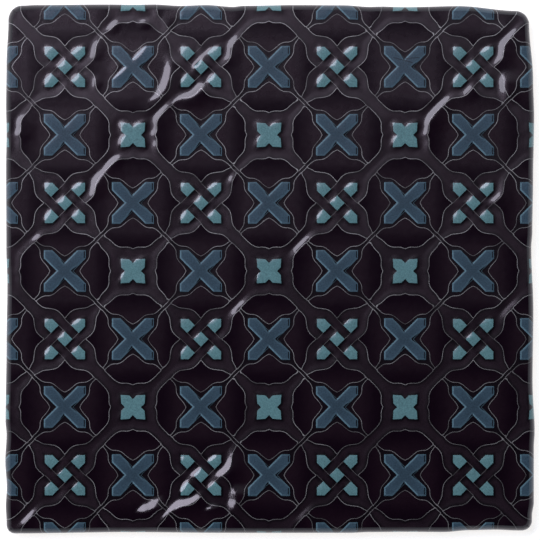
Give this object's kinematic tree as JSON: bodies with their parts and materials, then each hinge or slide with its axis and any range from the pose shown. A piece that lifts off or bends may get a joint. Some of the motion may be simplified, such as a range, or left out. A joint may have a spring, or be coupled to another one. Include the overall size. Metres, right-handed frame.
{
  "type": "ceramic tile",
  "caption": "Square glazed ceramic wall tile, dark gloss face with a traditional interlaced strap, cross and knot pattern, rolled rim and flat keyed back.",
  "frame": {"origin": "middle of the flat back, in the plane that the tile is bedded on", "axes": "+Z out of the glazed face, +Y to the tile's top side, +X to its right side seen from the face"},
  "size_m": [0.2015, 0.2013, 0.0092],
  "materials": {
    "glaze": "gloss"
  },
  "bodies": {
    "root": {"tile": "glaze"}
  },
  "joints": []
}
